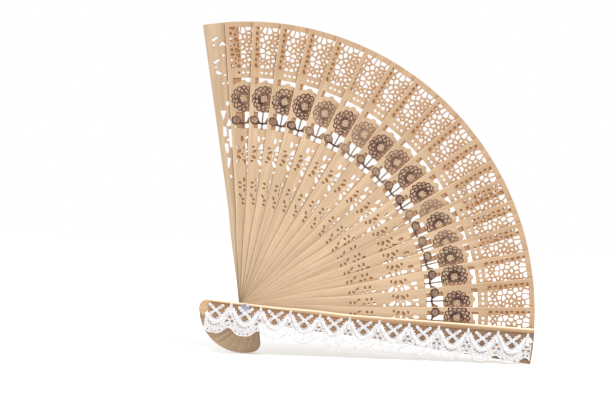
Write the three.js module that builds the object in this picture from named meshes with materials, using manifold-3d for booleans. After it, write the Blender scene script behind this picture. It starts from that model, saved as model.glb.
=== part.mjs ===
// Wooden folding fan: pierced blades that spread on one rivet, with a lace trim on the front guard.
// Millimetres. The rivet's axis is Y and crosses the origin, the front faces -Y and +Z is up.
import * as THREE from 'three';
import { mergeVertices } from 'three/addons/utils/BufferGeometryUtils.js';
import Module from 'manifold-3d';

// Blades: sticks and guards share one outline.
const TIP_RADIUS = 199; // rivet axis to the curved tip
const HEAD_LENGTH = 31; // rivet axis to the end of the round head
const TIP_WIDTH = 24.6;
const WAIST_RADIUS = 69; // the blade flares from here to the tip
const WAIST_WIDTH = 13.9;
const SHOULDER_RADIUS = 47; // a slight shoulder under the waist
const SHOULDER_WIDTH = 14.5;
const NECK_RADIUS = 20; // the shoulder narrows to a parallel neck here
const NECK_WIDTH = 12.4;
const MIDDLE_SHIFT = 1.9; // the blade's middle passes the rivet on its +X side
const STICK_THICKNESS = 0.7;
const GUARD_THICKNESS = 2.6;
const GUARD_EDGE_ROUND = 0.8;
const LAYER_GAP = 0.1; // running gap between one blade and the next

// The spread, in degrees counter-clockwise from +X as seen from the front.
const FRONT_GUARD_ANGLE = -5.4;
// Steps from the front guard to the back guard, uneven because the fan was opened by hand.
const OPENING_STEPS = [
  4.2, 5.8, 5.5, 5.7, 4.8, 4.9, 4.0, 5.4, 5.3, 5.7, 6.0, 5.7, 5.9, 6.2, 5.8, 5.7, 5.7, 5.6, 4.4,
];

// Bands of a stick's piercing, one under the other from its tip, and the uncut wood between them.
const EDGE_BORDER = 2.6; // uncut wood along both long edges
const TIP_RAIL = 3.7;
const LATTICE_LENGTH = 28.3;
const LATTICE_ROWS = 4;
const LATTICE_COLUMNS = 4; // every second row has one less
const LATTICE_WEB = 1.0; // wood between neighbouring openings of the lattice
const SLOT_RAIL = 7; // lattice to the slot above the flower
const SLOT_LENGTH = 4;
const SLOT_SCALLOP = 1.3; // how far the flower's top petal rises into the slot
const FLOWER_LENGTH = 18.7; // solid wood from the slot to the leaf window
const WINDOW_LENGTH = 12.4;
const STEM_WIDTH = 1.2;
const LEAF_LENGTH = 4.4;
const LEAF_REACH = 0.55; // share of the window that a leaf crosses
const ROSETTE_RAIL = 5.5;
const ROSETTE_LENGTH = 19.4;
const SPRIG_RAIL = 9.6;
const SPRIG_LENGTH = 18.6;
const BUD_LENGTH = 7.4;

// The back guard's piercing: [depth from the tip, offset from the middle, half length, half width].
const GUARD_OPENINGS = [
  [14, 0, 2.2, 1.5],
  [56, 0, 3.0, 1.7],
  [79, 0, 7.4, 1.1],
];
const GUARD_PAIRED_OPENINGS = [
  [10.6, 5.3, 2.2, 1.8],
  [26, 5.2, 2.2, 1.8],
  [34, 4.6, 2.4, 1.0],
  [64, 4.2, 1.8, 1.1],
  [75, 4.2, 4.2, 1.1],
];

// Rivet
const RIVET_DIAMETER = 3;
const RIVET_CLEARANCE = 0.25; // between the shank and each blade's hole
const RIVET_HEAD_DIAMETER = 7.6;
const RIVET_HEAD_HEIGHT = 0.9;
const RIVET_HEAD_CROWN = 0.4; // how much of that height is the head's low crown
const RIVET_SEAT_GAP = 0.1; // under the head, and on both sides of the washer
const TAIL_DIAMETER = 5;
const TAIL_HEIGHT = 1.2;
const WASHER_DIAMETER = 7.6;
const WASHER_THICKNESS = 0.6;
const ROUND_SIDES = 16;

// Lace: one motif repeated along the guard, from a peak at its top edge to a scalloped hem.
const LACE_THICKNESS = 0.8;
const LACE_SEAT_GAP = 0.1;
const LACE_RIVET_GAP = 0.3; // round the rivet's head, which stands through the lace
const LACE_WIDTH = 21.8; // peak to the lowest point of the hem
const LACE_REPEAT = 20.35;
const LACE_HEAD_MARGIN = 4.8; // bare wood at the head's end
const LACE_TIP_MARGIN = 1.4;
const LACE_PEAK_MARGIN_HEAD = 0.7; // guard's top edge to the peaks, at the head
const LACE_PEAK_MARGIN_TIP = 4; // and at the tip
const LACE_FIRST_PEAK = 17; // lace's cut end to its first peak
const TRAIL_DROP = 14.1; // peak to the lowest point of the thick trail's middle line
const TRAIL_WIDTH = 3.6;
const CROSS_DEPTH = 5.5; // peak line to the middle of the cross between two peaks
const CROSS_ARM = 1.4; // from that middle to the openings round it
// Where the cross's arms meet the trail, as shares of one repeat from the peak.
const UPPER_ARM_TOP = 0.08;
const UPPER_ARM_UNDER = 0.15;
const LOWER_ARM_OUTER = 0.27;
const LOWER_ARM_INNER = 0.37;
const HEM_NOTCH = 3.2; // under each peak, between two lobes of the hem
const HEM_STEPS = 6; // straight pieces in one scallop
const EYELET_SIZE = 1.6;
const EYELET_OFFSET = 1.7; // eyelet's middle to the line through the peak
const EYELET_DEPTH = 13.3; // and to the peak line

// Straight pieces in a quarter of a round outline and of a crowned rivet end.
const ARC_STEPS = 4;
const CROWN_STEPS = 3;

const wood = new THREE.MeshStandardMaterial({ color: '#dcbd9b', roughness: 0.62, metalness: 0 });
const guardWood = new THREE.MeshStandardMaterial({ color: '#d9b78f', roughness: 0.58, metalness: 0 });
const cotton = new THREE.MeshStandardMaterial({ color: '#f3f1ec', roughness: 0.95, metalness: 0 });
const steel = new THREE.MeshStandardMaterial({ color: '#bcc0c4', roughness: 0.3, metalness: 0.95 });

const wasm = await Module();
wasm.setup();

function toSolid(geometry) {
  const bare = geometry.clone();
  bare.deleteAttribute('normal');
  bare.deleteAttribute('uv');
  const merged = mergeVertices(bare);
  const vertProperties = new Float32Array(merged.attributes.position.array);
  const triVerts = new Uint32Array(merged.index.array);
  return new wasm.Manifold(new wasm.Mesh({ numProp: 3, vertProperties, triVerts }));
}

function toGeometry(solid) {
  const mesh = solid.getMesh();
  const geometry = new THREE.BufferGeometry();
  geometry.setAttribute('position', new THREE.BufferAttribute(mesh.vertProperties, 3));
  geometry.setIndex(new THREE.BufferAttribute(mesh.triVerts, 1));
  geometry.computeVertexNormals();
  return geometry;
}

function polygon(points) {
  return new THREE.Path(points.map(([x, y]) => new THREE.Vector2(x, y)));
}

// Where a blade's middle lies across the line from the rivet to the middle of its tip.
function bladeMiddle(radius) {
  return MIDDLE_SHIFT * (1 - radius / TIP_RADIUS);
}

// Points given as [across from the blade's middle, radius] lie on arcs about the rivet.
function arcPolygon(points) {
  return polygon(
    points.map(([across, radius]) => {
      const x = across + bladeMiddle(radius);
      return [x, Math.sqrt(radius * radius - x * x)];
    }),
  );
}

function ring(radius) {
  const points = [];
  for (let side = 0; side < ROUND_SIDES; side += 1) {
    const angle = ((side + 0.5) / ROUND_SIDES) * 2 * Math.PI;
    points.push([radius * Math.cos(angle), radius * Math.sin(angle)]);
  }
  return polygon(points);
}

function diamond(across, radius, halfAcross, halfAlong) {
  return arcPolygon([
    [across, radius - halfAlong],
    [across + halfAcross, radius],
    [across, radius + halfAlong],
    [across - halfAcross, radius],
  ]);
}

// Half the width of the flaring part of a blade.
function halfWidth(radius) {
  const flare = (radius - WAIST_RADIUS) / (TIP_RADIUS - WAIST_RADIUS);
  return (WAIST_WIDTH + flare * (TIP_WIDTH - WAIST_WIDTH)) / 2;
}

function openHalfWidth(radius) {
  return halfWidth(radius) - EDGE_BORDER;
}

// A blade lies in the XY plane, +Y towards the tip, and is turned upright by upright().
function bladeShape() {
  const neckHalf = NECK_WIDTH / 2;
  const headMiddle = neckHalf - HEAD_LENGTH;
  const tipHalfAngle = Math.asin(TIP_WIDTH / 2 / TIP_RADIUS);
  const bends = [
    [neckHalf, NECK_RADIUS],
    [SHOULDER_WIDTH / 2, SHOULDER_RADIUS],
    [WAIST_WIDTH / 2, WAIST_RADIUS],
  ];
  const shape = new THREE.Shape();
  shape.absarc(bladeMiddle(headMiddle), headMiddle, neckHalf, Math.PI, 2 * Math.PI);
  for (const [half, radius] of bends) {
    shape.lineTo(bladeMiddle(radius) + half, radius);
  }
  shape.absarc(0, 0, TIP_RADIUS, Math.PI / 2 - tipHalfAngle, Math.PI / 2 + tipHalfAngle);
  for (const [half, radius] of bends.toReversed()) {
    shape.lineTo(bladeMiddle(radius) - half, radius);
  }
  shape.holes.push(ring(RIVET_DIAMETER / 2 + RIVET_CLEARANCE));
  return shape;
}

// Thickness goes from Y = 0 towards the front.
function upright(geometry) {
  return geometry.rotateX(Math.PI / 2);
}

// Where the bands start and end, as distances from the rivet.
const latticeTop = TIP_RADIUS - TIP_RAIL;
const slotTop = latticeTop - LATTICE_LENGTH - SLOT_RAIL;
const slotBottom = slotTop - SLOT_LENGTH;
const windowTop = slotBottom - FLOWER_LENGTH;
const windowBottom = windowTop - WINDOW_LENGTH;
const rosetteTop = windowBottom - ROSETTE_RAIL;
const rosetteBottom = rosetteTop - ROSETTE_LENGTH;
const sprigTop = rosetteBottom - SPRIG_RAIL;
const sprigBottom = sprigTop - SPRIG_LENGTH;

function latticeHoles() {
  const pitch = LATTICE_LENGTH / (LATTICE_ROWS + 1);
  const holes = [];
  for (let row = 0; row < LATTICE_ROWS; row += 1) {
    const radius = latticeTop - (row + 1) * pitch;
    const columnPitch = (2 * openHalfWidth(radius)) / LATTICE_COLUMNS;
    const columns = LATTICE_COLUMNS - (row % 2);
    for (let column = 0; column < columns; column += 1) {
      const across = (column - (columns - 1) / 2) * columnPitch;
      const halfAcross = (columnPitch - LATTICE_WEB) / 2;
      holes.push(diamond(across, radius, halfAcross, pitch - LATTICE_WEB));
    }
  }
  return holes;
}

function slotHole() {
  const half = openHalfWidth(slotBottom);
  return arcPolygon([
    [-half, slotBottom],
    [-half / 2, slotBottom],
    [0, slotBottom + SLOT_SCALLOP],
    [half / 2, slotBottom],
    [half, slotBottom],
    [half, slotTop],
    [-half, slotTop],
  ]);
}

function windowHole(side) {
  const middle = (windowTop + windowBottom) / 2;
  const outer = openHalfWidth(windowBottom);
  const inner = STEM_WIDTH / 2;
  const leafTip = outer - LEAF_REACH * (outer - inner);
  return arcPolygon(
    [
      [inner, windowBottom],
      [outer, windowBottom],
      [outer, middle - LEAF_LENGTH / 2],
      [leafTip, middle],
      [outer, middle + LEAF_LENGTH / 2],
      [outer, windowTop],
      [inner, windowTop],
    ].map(([across, radius]) => [side * across, radius]),
  );
}

// Four petals round the rosette's solid heart.
function rosetteHoles() {
  const middle = (rosetteTop + rosetteBottom) / 2;
  const halfLength = ROSETTE_LENGTH / 2;
  const half = openHalfWidth(rosetteBottom);
  const petal = [
    [0.3, 0.14],
    [1, 0.36],
    [0.85, 0.92],
    [0.16, 0.62],
  ];
  const holes = [];
  for (const side of [-1, 1]) {
    for (const end of [-1, 1]) {
      const points = petal.map(([x, y]) => [side * x * half, middle + end * y * halfLength]);
      holes.push(arcPolygon(points));
    }
  }
  return holes;
}

// Two leaning leaves under a bud.
function sprigHoles() {
  const half = openHalfWidth(sprigBottom);
  const bud = diamond(0, sprigTop - BUD_LENGTH / 2, half / 2, BUD_LENGTH / 2);
  const leaf = [
    [0.15, 0.02],
    [0.6, 0.2],
    [1, 0.66],
    [0.4, 0.42],
  ];
  const leaves = [-1, 1].map((side) =>
    arcPolygon(leaf.map(([x, y]) => [side * x * half, sprigBottom + y * SPRIG_LENGTH])),
  );
  return [bud, ...leaves];
}

function stickGeometry() {
  const shape = bladeShape();
  shape.holes.push(...latticeHoles(), slotHole(), windowHole(-1), windowHole(1));
  shape.holes.push(...rosetteHoles(), ...sprigHoles());
  const options = { depth: STICK_THICKNESS, bevelEnabled: false, curveSegments: ARC_STEPS };
  return upright(new THREE.ExtrudeGeometry(shape, options));
}

function guardGeometry(openings) {
  const shape = bladeShape();
  shape.holes.push(...openings);
  const geometry = new THREE.ExtrudeGeometry(shape, {
    depth: GUARD_THICKNESS - 2 * GUARD_EDGE_ROUND,
    bevelThickness: GUARD_EDGE_ROUND,
    bevelSize: GUARD_EDGE_ROUND,
    bevelOffset: -GUARD_EDGE_ROUND,
    bevelSegments: 1,
    curveSegments: ARC_STEPS,
  });
  return upright(geometry.translate(0, 0, GUARD_EDGE_ROUND));
}

function backGuardOpenings() {
  const mirrored = GUARD_PAIRED_OPENINGS.map(([depth, offset, ...halves]) => [depth, -offset, ...halves]);
  const all = [...GUARD_OPENINGS, ...GUARD_PAIRED_OPENINGS, ...mirrored];
  return all.map(([depth, offset, halfAlong, halfAcross]) =>
    diamond(offset, TIP_RADIUS - depth, halfAcross, halfAlong),
  );
}

// The motif's height under the peak line, at a distance along one repeat.
function trailTop(along) {
  return TRAIL_DROP * Math.sin((Math.PI * along) / LACE_REPEAT) - TRAIL_WIDTH / 2;
}

function hemDepth(along) {
  return LACE_WIDTH - HEM_NOTCH * Math.cos((Math.PI * along) / LACE_REPEAT) ** 2;
}

// Openings of one repeat, as [along, depth] points: round the cross, and in the ground under the peak.
function motifHoles() {
  const middle = LACE_REPEAT / 2;
  const trail = (share) => [share * LACE_REPEAT, trailTop(share * LACE_REPEAT)];
  const beside = [
    [middle - CROSS_ARM, CROSS_DEPTH],
    trail(LOWER_ARM_OUTER),
    trail((UPPER_ARM_UNDER + LOWER_ARM_OUTER) / 2),
    trail(UPPER_ARM_UNDER),
  ];
  const under = [
    [middle, CROSS_DEPTH + CROSS_ARM],
    trail(1 - LOWER_ARM_INNER),
    trail(1 / 2),
    trail(LOWER_ARM_INNER),
  ];
  const eyelet = [
    [EYELET_OFFSET - EYELET_SIZE / 2, EYELET_DEPTH],
    [EYELET_OFFSET, EYELET_DEPTH - EYELET_SIZE / 2],
    [EYELET_OFFSET + EYELET_SIZE / 2, EYELET_DEPTH],
    [EYELET_OFFSET, EYELET_DEPTH + EYELET_SIZE / 2],
  ];
  const mirror = (points, about) => points.map(([along, depth]) => [2 * about - along, depth]);
  return [beside, mirror(beside, middle), under, eyelet, mirror(eyelet, 0)];
}

function laceGeometry() {
  const start = LACE_HEAD_MARGIN - HEAD_LENGTH;
  const end = TIP_RADIUS - LACE_TIP_MARGIN;
  const firstPeak = start + LACE_FIRST_PEAK - LACE_REPEAT;
  const repeats = Math.ceil((end - firstPeak) / LACE_REPEAT);
  const headPeak = NECK_WIDTH / 2 - bladeMiddle(0) - LACE_PEAK_MARGIN_HEAD;
  const tipPeak = TIP_WIDTH / 2 - LACE_PEAK_MARGIN_TIP;
  // The guard's top edge is on the side of -X, and the peak line curves gently with its flare.
  const place = (along, depth) => {
    const share = (firstPeak + along - start) / (end - start);
    return [depth - headPeak - share * share * (tipPeak - headPeak), firstPeak + along];
  };
  const outline = [];
  for (let step = 0; step <= repeats * HEM_STEPS; step += 1) {
    const along = (step / HEM_STEPS) * LACE_REPEAT;
    outline.push(place(along, hemDepth(along)));
  }
  const armTop = UPPER_ARM_TOP * LACE_REPEAT;
  for (let repeat = repeats; repeat > 0; repeat -= 1) {
    const peak = repeat * LACE_REPEAT;
    outline.push(place(peak, 0));
    outline.push(place(peak - armTop, trailTop(armTop)));
    outline.push(place(peak - LACE_REPEAT / 2, CROSS_DEPTH - CROSS_ARM));
    outline.push(place(peak - LACE_REPEAT + armTop, trailTop(armTop)));
  }
  outline.push(place(0, 0));
  const shape = new THREE.Shape(polygon(outline).getPoints());
  for (let repeat = 0; repeat < repeats; repeat += 1) {
    for (const hole of motifHoles()) {
      const inside = hole.every(([along]) => along > 0 || repeat > 0);
      if (inside) {
        shape.holes.push(polygon(hole.map(([along, depth]) => place(repeat * LACE_REPEAT + along, depth))));
      }
    }
  }
  const options = { depth: LACE_THICKNESS, bevelEnabled: false };
  const strip = toSolid(new THREE.ExtrudeGeometry(shape, options));
  const length = end - start;
  const kept = new THREE.BoxGeometry(length, length, length).translate(0, (start + end) / 2, 0);
  const clearRadius = RIVET_HEAD_DIAMETER / 2 + LACE_RIVET_GAP;
  const rivetRoom = new THREE.CylinderGeometry(clearRadius, clearRadius, length, ROUND_SIDES);
  const cutToLength = strip.intersect(toSolid(kept));
  return upright(toGeometry(cutToLength.subtract(toSolid(rivetRoom.rotateX(Math.PI / 2)))));
}

// Layers from the back: guard, sticks, guard. The stack is centred on the origin.
const stickCount = OPENING_STEPS.length - 1;
const stickPitch = STICK_THICKNESS + LAYER_GAP;
const stackDepth = 2 * GUARD_THICKNESS + stickCount * stickPitch + LAYER_GAP;
const backFace = stackDepth / 2;
const frontFace = -stackDepth / 2;

const fan = new THREE.Group();

function addBlade(name, geometry, material, angle, rearFace) {
  const blade = new THREE.Group();
  blade.rotation.y = THREE.MathUtils.degToRad(90 - angle);
  blade.position.y = rearFace;
  const mesh = new THREE.Mesh(geometry, material);
  mesh.name = name;
  blade.add(mesh);
  fan.add(blade);
  return blade;
}

const frontRear = frontFace + GUARD_THICKNESS;
const frontBlade = addBlade('front_guard', guardGeometry([]), guardWood, FRONT_GUARD_ANGLE, frontRear);

const lace = new THREE.Mesh(laceGeometry(), cotton);
lace.name = 'lace_trim';
lace.position.y = -GUARD_THICKNESS - LACE_SEAT_GAP;
frontBlade.add(lace);

// Sticks are numbered from the back guard.
const stick = stickGeometry();
let angle = FRONT_GUARD_ANGLE;
for (let number = stickCount; number >= 1; number -= 1) {
  angle += OPENING_STEPS[stickCount - number];
  const rearFace = backFace - GUARD_THICKNESS - LAYER_GAP - (number - 1) * stickPitch;
  addBlade(`stick_${String(number).padStart(2, '0')}`, stick, wood, angle, rearFace);
}
angle += OPENING_STEPS[stickCount];
addBlade('back_guard', guardGeometry(backGuardOpenings()), guardWood, angle, backFace);

// A crowned end, as [radius, height above its rim] points from the middle to the rim.
function crown(radius, height) {
  const points = [];
  for (let step = 0; step <= CROWN_STEPS; step += 1) {
    const turn = ((step / CROWN_STEPS) * Math.PI) / 2;
    points.push([radius * Math.sin(turn), height * Math.cos(turn)]);
  }
  return points;
}

// The rivet's profile runs along its axis from the head's crown to the tail's top.
const shankRadius = RIVET_DIAMETER / 2;
const headBack = frontFace - RIVET_SEAT_GAP;
const headRim = headBack - RIVET_HEAD_HEIGHT + RIVET_HEAD_CROWN;
const washerBack = backFace + RIVET_SEAT_GAP + WASHER_THICKNESS;
const tailRim = washerBack + RIVET_SEAT_GAP;
const rivetProfile = [
  ...crown(RIVET_HEAD_DIAMETER / 2, RIVET_HEAD_CROWN).map(([radius, height]) => [radius, headRim - height]),
  [RIVET_HEAD_DIAMETER / 2, headBack],
  [shankRadius, headBack],
  [shankRadius, tailRim],
  ...crown(TAIL_DIAMETER / 2, TAIL_HEIGHT).reverse().map(([radius, height]) => [radius, tailRim + height]),
].map(([radius, along]) => new THREE.Vector2(radius, along));
const rivet = new THREE.Mesh(new THREE.LatheGeometry(rivetProfile, ROUND_SIDES), steel);
rivet.name = 'rivet';
fan.add(rivet);

const washerShape = new THREE.Shape(ring(WASHER_DIAMETER / 2).getPoints());
washerShape.holes.push(ring(shankRadius + RIVET_CLEARANCE));
const washerOptions = { depth: WASHER_THICKNESS, bevelEnabled: false };
const washer = new THREE.Mesh(upright(new THREE.ExtrudeGeometry(washerShape, washerOptions)), steel);
washer.name = 'rivet_washer';
washer.position.y = washerBack;
fan.add(washer);

export default fan;
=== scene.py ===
"""Dresses an open wooden folding fan: pierced blades on one rivet, stamped flowers and a lace trim."""
import math
import random

import bmesh
import bpy
from mathutils import Matrix, Vector


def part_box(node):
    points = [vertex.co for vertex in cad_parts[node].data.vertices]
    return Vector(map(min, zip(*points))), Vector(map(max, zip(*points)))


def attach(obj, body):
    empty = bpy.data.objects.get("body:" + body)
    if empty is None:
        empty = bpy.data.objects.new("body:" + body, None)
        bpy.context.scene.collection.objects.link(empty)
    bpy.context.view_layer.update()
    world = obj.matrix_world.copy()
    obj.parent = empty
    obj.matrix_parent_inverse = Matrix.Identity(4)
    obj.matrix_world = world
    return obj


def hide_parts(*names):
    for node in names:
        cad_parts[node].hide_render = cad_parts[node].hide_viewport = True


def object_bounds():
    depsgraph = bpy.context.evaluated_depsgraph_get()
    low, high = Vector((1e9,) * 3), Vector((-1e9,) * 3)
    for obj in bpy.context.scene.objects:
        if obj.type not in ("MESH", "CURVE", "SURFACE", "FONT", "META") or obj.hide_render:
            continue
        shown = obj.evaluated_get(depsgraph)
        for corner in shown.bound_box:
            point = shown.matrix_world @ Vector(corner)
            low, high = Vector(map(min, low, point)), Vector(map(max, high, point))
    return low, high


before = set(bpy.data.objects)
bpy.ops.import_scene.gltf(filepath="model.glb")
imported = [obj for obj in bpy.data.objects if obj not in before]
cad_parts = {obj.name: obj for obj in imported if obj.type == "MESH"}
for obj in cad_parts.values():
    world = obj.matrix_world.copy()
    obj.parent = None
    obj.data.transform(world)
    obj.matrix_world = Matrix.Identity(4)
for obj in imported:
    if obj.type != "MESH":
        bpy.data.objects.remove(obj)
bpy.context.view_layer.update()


# Back guard
# The rearmost blade, cut from a thicker strip of pale wood than the sticks and rounded along its edges.
# Small openings are punched through its upper half in mirrored pairs. Its head turns on the rivet.
MM = 0.001
TIP_RADIUS = 199.0
TIP_WIDTH = 24.6
TIP_CORNER = 0.6
TIP_STEPS = 8
HEAD_LENGTH = 31.0
HEAD_STEPS = 14
NECK_RADIUS = 20.0
NECK_WIDTH = 12.4
SHOULDER_RADIUS = 47.0
SHOULDER_WIDTH = 14.5
WAIST_RADIUS = 69.0
WAIST_WIDTH = 13.9
BEND_ROUND = 7.0
MIDDLE_SHIFT = 1.9
PIN_HOLE = 3.5
PIN_HOLE_SIDES = 24
GUARD_ROUND = 0.8
GUARD_TONE = 0.6
GRAIN_TILE = 100.0


def blade_angle(node):
    """The direction of a blade from the rivet to the middle of its tip, read from its CAD solid."""
    points = [vert.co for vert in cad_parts[node].data.vertices]
    reach = max(math.hypot(point.x, point.z) for point in points)
    rim = [point for point in points if math.hypot(point.x, point.z) > reach - 0.3 * MM]
    turns = [math.atan2(point.z, point.x) for point in rim]
    return (min(turns) + max(turns)) / 2


def upright(node):
    """Turns a blade that is made standing upright, in millimetres, to its node's direction."""
    return Matrix.Rotation(math.pi / 2 - blade_angle(node), 4, "Y") @ Matrix.Scale(MM, 4)


def blade_middle(radius):
    """Where a blade's middle lies across the line from the rivet to the middle of its tip."""
    return MIDDLE_SHIFT * (1 - radius / TIP_RADIUS)


def blade_face(bm, front):
    """A blade's outline as one face at a depth, with a round head and a tip on an arc about the rivet."""
    half_turn = math.asin(TIP_WIDTH / 2 / TIP_RADIUS)
    head_radius = NECK_WIDTH / 2 - HEAD_LENGTH
    head_centre = Vector((blade_middle(head_radius), front, head_radius))
    head_right = bm.verts.new(head_centre + Vector((NECK_WIDTH / 2, 0, 0)))
    tip_left = bm.verts.new((-TIP_WIDTH / 2, front, TIP_RADIUS * math.cos(half_turn)))
    head_left = bmesh.ops.spin(
        bm, geom=[head_right], cent=head_centre, axis=(0, 1, 0), angle=math.pi,
        steps=HEAD_STEPS)["geom_last"][0]
    tip_right = bmesh.ops.spin(
        bm, geom=[tip_left], cent=(0, front, 0), axis=(0, 1, 0), angle=2 * half_turn,
        steps=TIP_STEPS)["geom_last"][0]
    bends = []
    for side, lower, upper in ((1, head_right, tip_right), (-1, head_left, tip_left)):
        for width, radius in (
                (NECK_WIDTH, NECK_RADIUS), (SHOULDER_WIDTH, SHOULDER_RADIUS), (WAIST_WIDTH, WAIST_RADIUS)):
            bend = bm.verts.new((blade_middle(radius) + side * width / 2, front, radius))
            bm.edges.new((lower, bend))
            bends.append(bend)
            lower = bend
        bm.edges.new((lower, upper))
    bmesh.ops.contextual_create(bm, geom=bm.edges[:])
    for corners, size in ((bends, BEND_ROUND), ([tip_left, tip_right], TIP_CORNER)):
        bmesh.ops.bevel(
            bm, geom=corners, offset=size, affect="VERTICES", segments=4, profile=0.5, material=-1)
    face = bm.faces[:][0]
    face.normal_update()
    if face.normal.y > 0:
        face.normal_flip()
    return face


def opening(bm, front, across, radius, width, length, lean=0.0, sides=10):
    """The edge of one punched oval opening, which leans to the right by some degrees."""
    ring = bmesh.ops.create_circle(bm, segments=sides, radius=1)["verts"]
    for vert in ring:
        vert.co = (vert.co.x * width / 2, 0, vert.co.y * length / 2)
    place = Matrix.Translation((across, front, radius)) @ Matrix.Rotation(math.radians(lean), 4, "Y")
    bmesh.ops.transform(bm, matrix=place, verts=ring)
    return list({edge for vert in ring for edge in vert.link_edges})


def pin_hole(bm, front):
    """The hole that the rivet's pin passes through."""
    return opening(bm, front, 0, 0, PIN_HOLE, PIN_HOLE, sides=PIN_HOLE_SIDES)


def blade_mesh(name, thickness, rounding, steps, punch):
    """A blade with rounded edges; punch adds the loops of its openings at the depth it is given."""
    bm = bmesh.new()
    face = blade_face(bm, rounding - thickness / 2)
    for step in range(steps):
        start = step / steps * math.pi / 2
        end = (step + 1) / steps * math.pi / 2
        bmesh.ops.inset_region(
            bm, faces=[face], use_boundary=True, use_even_offset=True,
            thickness=rounding * (math.cos(start) - math.cos(end)))
        forward = rounding * (math.sin(start) - math.sin(end))
        bmesh.ops.translate(bm, vec=(0, forward, 0), verts=face.verts[:])
    rim = face.edges[:]
    bmesh.ops.delete(bm, geom=[face], context="FACES_ONLY")
    loops = punch(bm, -thickness / 2)
    bmesh.ops.triangle_fill(bm, use_beauty=True, edges=rim + loops, normal=(0, -1, 0))
    outline = [edge for edge in bm.edges if len(edge.link_faces) == 1]
    walls = bmesh.ops.extrude_edge_only(bm, edges=outline)["geom"]
    middle = [part for part in walls if isinstance(part, bmesh.types.BMVert)]
    bmesh.ops.scale(bm, vec=(1, 0, 1), verts=middle)
    bmesh.ops.mirror(bm, geom=bm.verts[:] + bm.edges[:] + bm.faces[:], merge_dist=1e-4, axis="Y")
    bmesh.ops.recalc_face_normals(bm, faces=bm.faces)
    flat = bm.loops.layers.uv.new("blade")
    for face in bm.faces:
        for loop in face.loops:
            loop[flat].uv = (loop.vert.co.x / GRAIN_TILE, loop.vert.co.z / GRAIN_TILE)
    mesh = bpy.data.meshes.new(name)
    bm.to_mesh(mesh)
    bm.free()
    return mesh


def value_on_points(mesh, name, values):
    """Keeps one number for each point of a mesh, for its material to read."""
    mesh.attributes.new(name, "FLOAT", "POINT").data.foreach_set("value", values)


def place_blade(mesh, node, body, material):
    """Stands the finished blade in its node's place and lets it ride on its body."""
    low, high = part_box(node)
    mesh.transform(Matrix.Translation((0, (low.y + high.y) / 2, 0)) @ upright(node))
    mesh.materials.append(material)
    blade = bpy.data.objects.new(mesh.name, mesh)
    bpy.context.collection.objects.link(blade)
    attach(blade, body)
    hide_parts(node)


def thickness_of(node):
    """How thick a node is through the stack, in millimetres."""
    low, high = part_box(node)
    return (high.y - low.y) / MM


def add(tree, kind, inputs=None, **settings):
    """One shader node with its settings, and with its inputs set to numbers or linked to other nodes."""
    made = tree.nodes.new(kind)
    for name, value in settings.items():
        setattr(made, name, value)
    for name, value in (inputs or {}).items():
        if isinstance(value, bpy.types.NodeSocket):
            tree.links.new(value, made.inputs[name])
        else:
            made.inputs[name].default_value = value
    return made


def calc(tree, operation, *values):
    """The result of one sum of numbers and sockets."""
    return add(tree, "ShaderNodeMath", dict(enumerate(values)), operation=operation).outputs[0]


def fade(tree, value, start, end, low=0.0, high=1.0):
    """Goes smoothly from low to high as a value goes from start to end."""
    inputs = {"Value": value, "From Min": start, "From Max": end, "To Min": low, "To Max": high}
    return add(tree, "ShaderNodeMapRange", inputs, interpolation_type="SMOOTHSTEP").outputs["Result"]


def noise(tree, place, scale, detail):
    """Soft random patches over a surface."""
    inputs = {"Vector": place, "Scale": scale, "Detail": detail}
    return add(tree, "ShaderNodeTexNoise", inputs).outputs[0]


def mixed(tree, factor, first, second):
    """Two colours mixed by a factor."""
    node = add(tree, "ShaderNodeMix", data_type="RGBA")
    for socket, value in ((node.inputs[0], factor), (node.inputs[6], first), (node.inputs[7], second)):
        if isinstance(value, bpy.types.NodeSocket):
            tree.links.new(value, socket)
        else:
            socket.default_value = value
    return node.outputs[2]


def tint(red, green, blue):
    """A colour given as it shows on a screen, from 0 to 255, as the renderer's own linear one."""
    return (*((part / 255) ** 2.2 for part in (red, green, blue)), 1.0)


def grain(tree, light, dark):
    """Lengthwise bands and fine pores of a plain pale wood: its colour and its height."""
    place = add(tree, "ShaderNodeUVMap", uv_map="blade").outputs["UV"]
    tone_and_shade = add(tree, "ShaderNodeAttribute", attribute_name="tone_and_shade").outputs["Fac"]
    own = add(tree, "ShaderNodeCombineXYZ", {"Z": calc(tree, "MULTIPLY", tone_and_shade, 40.0)}).outputs[0]

    def streaks(across, along, detail):
        stretched = add(tree, "ShaderNodeVectorMath", {0: place, 1: (across, along, 1), 2: own},
                        operation="MULTIPLY_ADD").outputs[0]
        return noise(tree, stretched, 1.0, detail)

    bands = streaks(30.0, 1.1, 4.0)
    pores = streaks(330.0, 9.0, 2.0)
    clouds = streaks(9.0, 4.0, 2.0)
    colour = mixed(tree, fade(tree, bands, 0.25, 0.75), dark, light)
    colour = mixed(tree, fade(tree, pores, 0.5, 0.76, 0.0, 0.55), colour, dark)
    cloudy = fade(tree, clouds, 0.3, 0.7, 0.95, 1.04)
    shade = calc(tree, "MULTIPLY", cloudy, fade(tree, tone_and_shade, 0.0, 1.0, 0.95, 1.05))
    colour = add(tree, "ShaderNodeHueSaturation", {"Color": colour, "Value": shade}).outputs[0]
    height = calc(tree, "SUBTRACT", bands, calc(tree, "MULTIPLY", pores, 0.6))
    return colour, height


def wood_shader(material, colour, height, roughness):
    """A dry, lightly sealed wood surface with its grain just felt."""
    tree = material.node_tree
    bump = add(tree, "ShaderNodeBump", {"Height": height, "Strength": 0.35, "Distance": 0.15 * MM})
    shader = tree.nodes["Principled BSDF"]
    tree.links.new(colour, shader.inputs["Base Color"])
    tree.links.new(bump.outputs[0], shader.inputs["Normal"])
    uneven = fade(tree, height, 0.0, 0.5, roughness + 0.08, roughness - 0.06)
    tree.links.new(uneven, shader.inputs["Roughness"])
    shader.inputs["Specular IOR Level"].default_value = 0.35


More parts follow.
